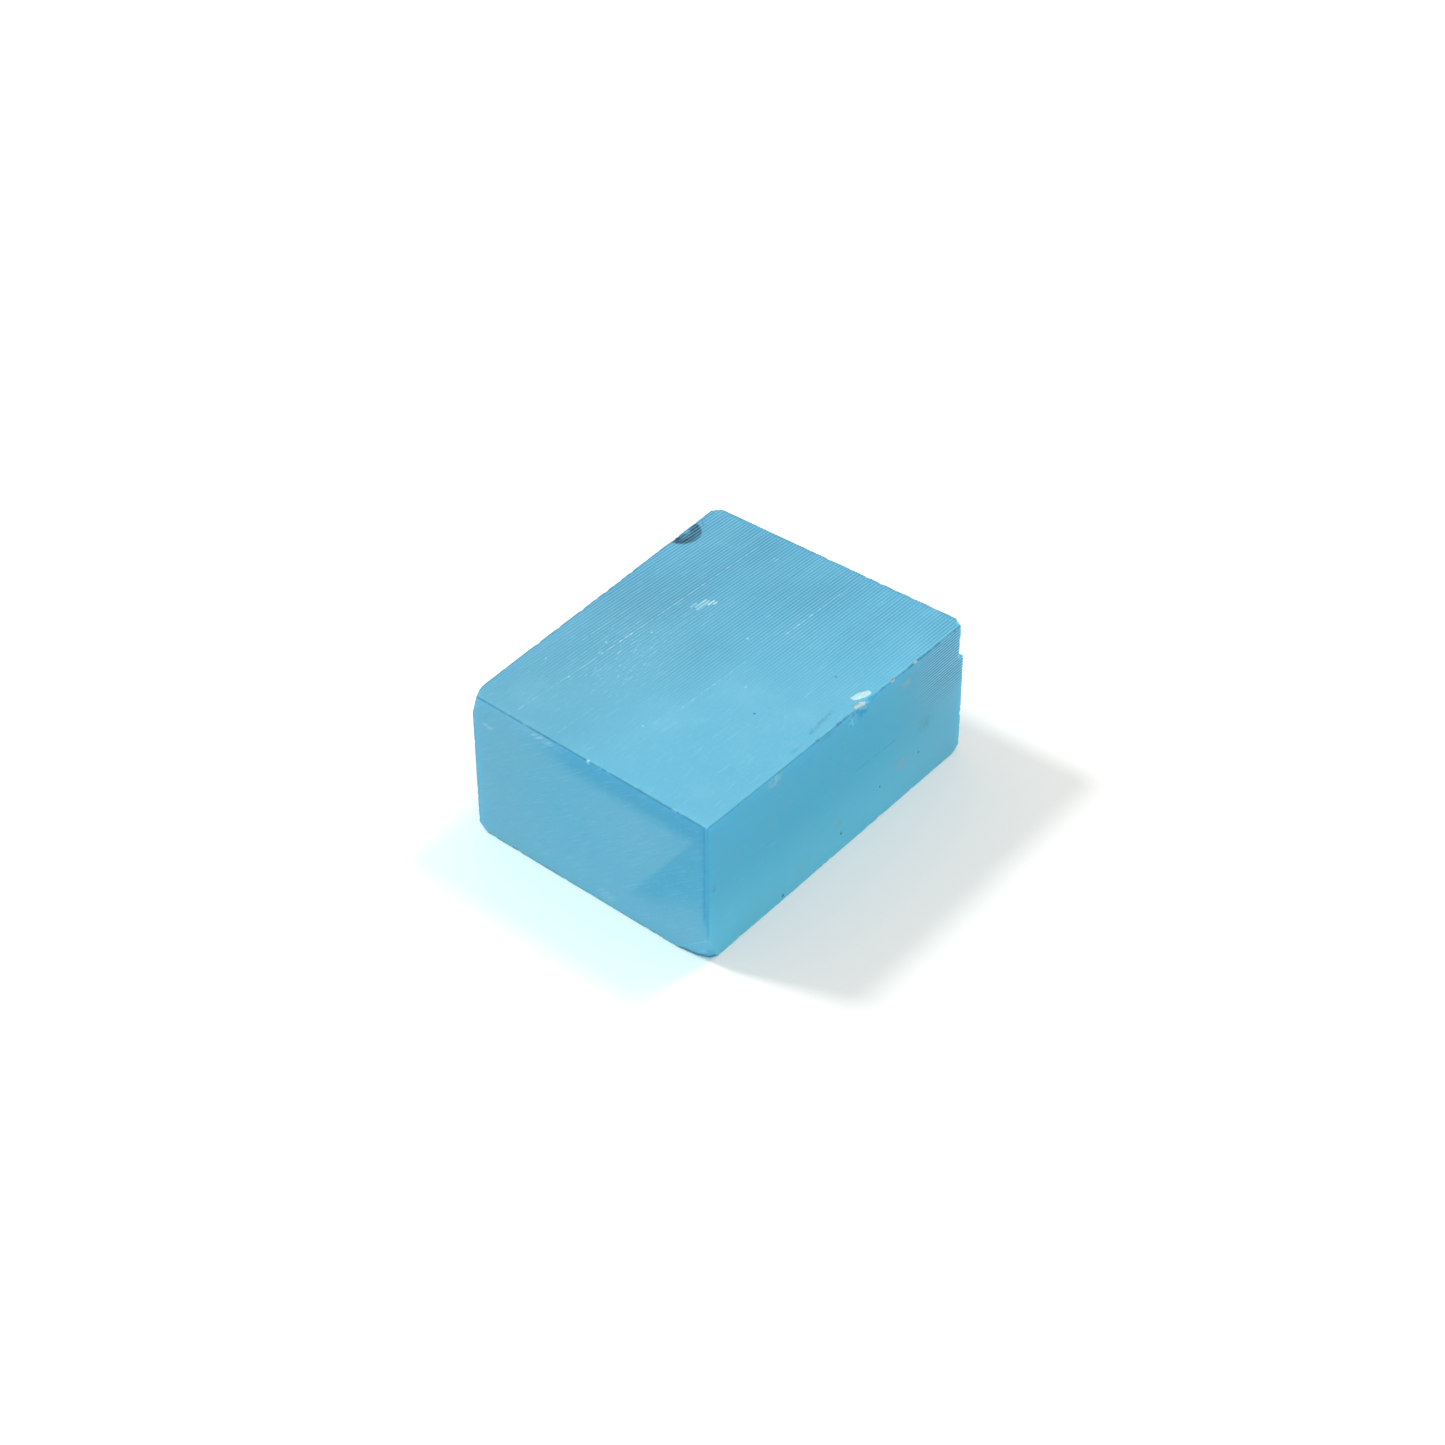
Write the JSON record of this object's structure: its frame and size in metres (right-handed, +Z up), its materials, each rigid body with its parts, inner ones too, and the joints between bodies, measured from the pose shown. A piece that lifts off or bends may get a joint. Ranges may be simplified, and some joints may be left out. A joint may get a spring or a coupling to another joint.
{
  "type": "sawn translucent block",
  "caption": "Oblong rough-sawn block of frosted, translucent light-blue glass, slightly out of square, with chipped edges and a flat base.",
  "frame": {"origin": "under the middle of the block's box, on the face it rests on", "axes": "+X along the long front side towards the far end, where the top is lowest; +Y from the front side, whose top edge is chipped, to the back side; +Z up"},
  "size_m": [0.036, 0.0278, 0.016],
  "materials": {
    "frosted_glass": "rough-sawn, frosted, translucent"
  },
  "bodies": {
    "root": {"sawn_block": "frosted_glass"}
  },
  "joints": []
}
